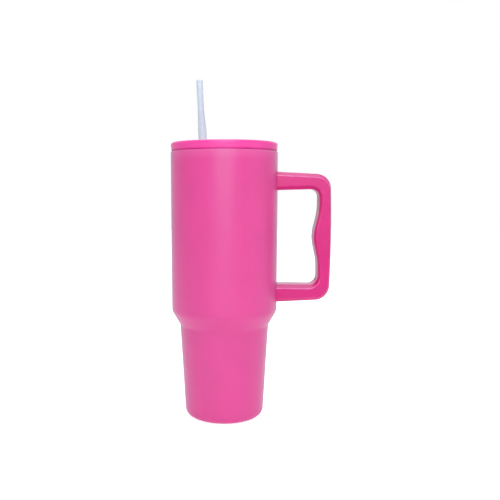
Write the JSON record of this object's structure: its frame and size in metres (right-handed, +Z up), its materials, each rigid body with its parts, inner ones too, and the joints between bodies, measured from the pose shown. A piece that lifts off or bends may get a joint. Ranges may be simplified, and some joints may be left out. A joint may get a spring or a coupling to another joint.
{
  "type": "insulated tumbler",
  "caption": "Tall double-wall insulated tumbler with a side handle, a tapered foot that fits cup holders, a press-in lid with a turning cover, and a drinking straw.",
  "frame": {"origin": "on the vessel's centre line, on the plane the foot pad stands on", "axes": "+Z up along the vessel's centre line, +X towards the handle; the straw leans towards -X and +Y"},
  "size_m": [0.1503, 0.1004, 0.3213],
  "materials": {
    "powder_coat": "matte powder coat",
    "bare_steel": "brushed",
    "glass_bead": "fused glass",
    "getter_metal": "sintered",
    "pad_rubber": "matte silicone",
    "handle_plastic": "satin moulded",
    "screw_steel": "plain",
    "lid_plastic": "satin moulded",
    "seal_rubber": "matte silicone",
    "straw_plastic": "translucent"
  },
  "bodies": {
    "vessel": {"outer_shell": "powder_coat", "inner_liner": "bare_steel", "vacuum_base": "bare_steel", "seal_bead": "glass_bead", "getter": "getter_metal", "base_cover": "bare_steel", "foot_pad": "pad_rubber", "handle_front": "handle_plastic", "handle_back": "handle_plastic", "upper_bracket": "bare_steel", "lower_bracket": "bare_steel", "handle_screws": "screw_steel", "screw_plugs": "handle_plastic"},
    "lid": {"lid_body": "lid_plastic", "lid_gasket": "seal_rubber", "straw_grommet": "seal_rubber", "pivot_pin": "lid_plastic", "pivot_seal": "seal_rubber"},
    "cover": {"rotating_cover": "lid_plastic", "cover_seal": "seal_rubber"},
    "straw": {"straw": "straw_plastic"}
  },
  "joints": [
    {"name": "lid_lift", "type": "slide", "parent": "vessel", "child": "lid", "axis": [0, 0, 1], "range_m": [0, 0.265]},
    {"name": "cover_turn", "type": "hinge", "parent": "lid", "child": "cover", "pos_m": [0, 0, 0.2566], "axis": [0, 0, 1], "range_deg": [0, 55]},
    {"name": "straw_pull", "type": "slide", "parent": "lid", "child": "straw", "axis": [-0.0491, 0.0491, 0.9976], "range_m": [0, 0.27]}
  ]
}
